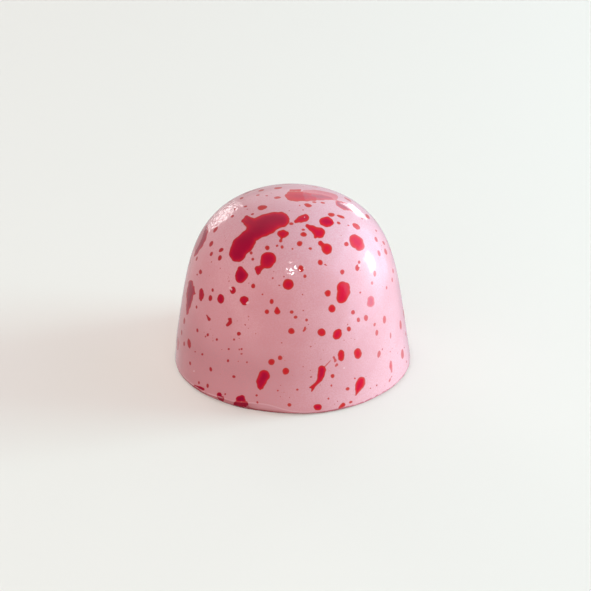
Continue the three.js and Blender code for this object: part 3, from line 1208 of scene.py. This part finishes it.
# Painted shade: the lowest edge is darkened, unevenly where it is nibbled and less on the far right.
rim = (1 - up.between(*RIM_HEIGHTS)) * (0.7 + nibbled * 0.3) * (1 - far_right * 0.4)
colour = bench.mix(rim, colour, bench.mix(far_right, RIM_IN_PAINTED_SHADE, FOOT_RIM_RIGHT))
far_left = across.between(*FAR_LEFT)
# Painted shade on the small lip at the far left.
lip = stretch(band, (-0.1, -0.02), (0.02, 0.1))
colour = bench.mix(lip * far_left * LIP_SHARE, colour, RIM_IN_PAINTED_SHADE)
# Painted highlight on the ridge over the lip.
ridge = stretch(band, (0.08, 0.14), (0.2, 0.28))
colour = bench.mix(ridge * far_left * nibbled * 0.5, colour, PALE_NICK_AND_HIGHLIGHT)
colour = bench.mix(crease_line * rightness * nibbled * RED_LINE_SHARE, colour, FOOT_RIM_RIGHT)
colour = bench.mix(under, colour, SCRAPED_BASE)

# %% [markdown]
# ### Gloss and relief
#
# The mould's polish gives the gloss, and nothing breaks it but a faint orange peel and a slow swell. Two
# places differ on the real sweet, as their broken highlights show: a crinkled patch on the left shoulder,
# and a worn ring round the small highlight on the front. Both are bumps rather than shape, because they are
# a few hundredths of a millimetre high. The scraped band is duller and coarse.

# %% Gloss and relief
CRINKLED_PLACE = (-8.5, 0.8, 19.1)
CRINKLED_REACH = (1.8, 3.6)
CRINKLE = 0.12
WORN_PLACE = (-0.2, -10.3, 17.3)
WORN_FROM = (0.2, 0.5)
WORN_UP_TO = (1.5, 2.8)
PEEL = 0.006
WORN_PEEL = 0.028
SLOW_SWELL = 0.02
SCRAPE = 0.06
SKIN_ROUGHNESS = 0.08
BAND_ROUGHNESS = 0.16
CLOUDED_ROUGHNESS = 0.05
COCOA_BUTTER_IOR = 1.46


def away(bench, place, other):
    """How far a place lies from another, in millimetres."""
    return bench.node("ShaderNodeVectorMath", {0: place, 1: other}, operation="DISTANCE")


worn = stretch(away(bench, spot, WORN_PLACE), WORN_FROM, WORN_UP_TO)
crinkled = 1 - away(bench, spot, CRINKLED_PLACE).between(*CRINKLED_REACH)
peel = (cloud(bench, spot, 0.38, 0.0) - 0.5) * (PEEL + worn * WORN_PEEL)
peel = peel + cloud(bench, spot, 1.4) * SLOW_SWELL
peel = peel + (cloud(bench, spot, 0.45, 1.0) - 0.5) * crinkled * CRINKLE
relief = peel * (1 - on_band) + cloud(bench, spot, 0.5, 4.0) * on_band * SCRAPE
roughness = SKIN_ROUGHNESS + on_band * BAND_ROUGHNESS + cloud(bench, spot, 1.2) * CLOUDED_ROUGHNESS
finish_shader(bench, {
    "Base Color": colour,
    "Roughness": roughness,
    "Normal": bench.node("ShaderNodeBump", {"Height": relief, "Distance": MM, "Strength": 1.0}),
    "IOR": COCOA_BUTTER_IOR,
})
print("nodes of the skin", len(bench.tree.nodes))

# %% [markdown]
# ### Specks
#
# Each speck of the spray keeps one drawn number, its tint. It takes the speck from a paler red, where the
# droplet dried thin, to a deeper one.

# %% Specks
SPECK_THIN = (0.56, 0.13, 0.13)
SPECK_THICK = (0.5, 0.07, 0.075)
SPECK_ROUGHNESS = 0.22

bench = start_shader(speck_paint)
tinted = bench.mix(attribute(bench, "tint"), SPECK_THIN, SPECK_THICK)
finish_shader(bench, {"Base Color": tinted, "Roughness": SPECK_ROUGHNESS, "IOR": COCOA_BUTTER_IOR})

# %% [markdown]
# ## Floor and light
#
# The floor is a plain pale sheet. It glows faintly, so that it stays pale without a lamp of its own.

# %% Floor
FLOOR_SIDE = 1.6
FLOOR_FINISH = {
    "Base Color": (0.57, 0.515, 0.472, 1.0),
    "Roughness": 0.7,
    "Emission Color": (1.0, 0.95, 0.89, 1.0),
    "Emission Strength": 0.28,
}


def make_floor():
    half = FLOOR_SIDE / 2
    mesh = bpy.data.meshes.new("floor")
    corners = [(-half, -half, 0), (half, -half, 0), (half, half, 0), (-half, half, 0)]
    mesh.from_pydata(corners, [], [(0, 1, 2, 3)])
    floor = bpy.data.objects.new("floor", mesh)
    bpy.context.collection.objects.link(floor)
    paper = bpy.data.materials.new("pale floor")
    finish_shader(start_shader(paper), FLOOR_FINISH)
    mesh.materials.append(paper)
    return floor


floor = make_floor()
print("floor side in metres", FLOOR_SIDE)

# %% [markdown]
# Two kinds of light stand over the floor. The windows are what the gloss mirrors: a small one on the right
# with a weak glow round it and a wide curtain beside it, two behind, a low sheet of light behind that
# brightens the crown, and one small lamp above the camera, which makes the spot in the middle of the front.
# The soft lights do most of the lighting. They are kept out of the gloss together with the floor, because a
# veil of white would take the depth from the red.

# %% Lights, each with its direction from the sweet, distance, width, height, power and tint
WINDOWS = {
    "window on the right": ((0.949, 0.263, 0.174), 0.45, 0.1, 0.12, 0.32, (1.0, 1.0, 1.0)),
    "glow round the window": ((0.949, 0.263, 0.174), 0.455, 0.2, 0.24, 0.2, (0.85, 0.97, 1.1)),
    "curtain on the right": ((0.958, 0.107, 0.267), 0.46, 0.7, 0.5, 1.35, (0.8, 0.9, 1.3)),
    "window behind on the right": ((0.3914, 0.9002, 0.1908), 0.505, 0.108, 0.108, 0.17, (1.0, 0.98, 1.02)),
    "window behind on the left": ((-0.4609, 0.8667, 0.1908), 0.504, 0.14, 0.18, 0.33, (1.0, 0.98, 0.97)),
    "sheet of light behind": ((0.25, 0.92, 0.42), 0.8, 0.9, 0.35, 0.35, (1.0, 0.97, 0.97)),
    "small lamp above the camera": ((-0.02, -0.722, 0.69), 0.45, 0.026, 0.026, 0.25, (1.0, 1.0, 1.0)),
}
SOFT_LIGHTS = {
    "soft light from the right": ((0.98, 0.1, 0.16), 0.5, 0.25, 0.25, 4.45, (0.48, 1.0, 1.06)),
    "ceiling": ((-0.42, -0.3, 0.86), 0.7, 1.2, 1.2, 4.15, (1.0, 0.99, 0.985)),
    "soft light from the front": ((-0.15, -0.9, 0.4), 0.6, 0.8, 0.8, 1.1, (1.0, 0.985, 0.97)),
}


def make_light(name, direction, distance, width, height, power, tint):
    light = bpy.data.lights.new(name, "AREA")
    light.shape = "RECTANGLE"
    light.size = width
    light.size_y = height
    light.energy = power
    light.color = tint
    lamp = bpy.data.objects.new(name, light)
    bpy.context.collection.objects.link(lamp)
    toward = Vector(direction).normalized()
    lamp.location = middle + toward * distance
    lamp.rotation_euler = (-toward).to_track_quat("-Z", "Y").to_euler()
    return lamp


for name, facts in WINDOWS.items():
    make_light(name, *facts)
for name, facts in SOFT_LIGHTS.items():
    make_light(name, *facts).visible_glossy = False
floor.visible_glossy = False
print("lights", len(WINDOWS) + len(SOFT_LIGHTS))

# %% [markdown]
# The air of the room gives the last light. It is dim in front and bright behind on the left, because the
# crown mirrors that side of the room.

# %% The air of the room
SKY_IN_FRONT = 0.05
SKY_BEHIND = 0.6
SKY_TINT = (1.0, 0.98, 0.97, 1.0)
SKY_SIDEWAYS = (0.0, 0.5)
SKY_BACKWARDS = (0.0, 0.9)
DIMMED_ON_THE_RIGHT = 0.8

world = bpy.data.worlds.new("studio air")
air = start_shader(world)
direction = air.node("ShaderNodeSeparateXYZ", {"Vector": air.node("ShaderNodeTexCoord")["Generated"]})
on_the_left = 1 - direction["X"].between(*SKY_SIDEWAYS) * DIMMED_ON_THE_RIGHT
glow = SKY_IN_FRONT + direction["Y"].between(*SKY_BACKWARDS) * on_the_left * (SKY_BEHIND - SKY_IN_FRONT)
sky = air.node("ShaderNodeBackground", {"Color": SKY_TINT, "Strength": glow})
air.node("ShaderNodeOutputWorld", {"Surface": sky})
bpy.context.scene.world = world
bpy.context.scene.view_settings.view_transform = "Standard"

# %% [markdown]
# ## Joining the frame
#
# Both pieces stand for the one solid, which is hidden, and ride on its body.

# %% Pieces on the frame
for piece in (shell, spray):
    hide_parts("praline")
    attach(piece, "root")
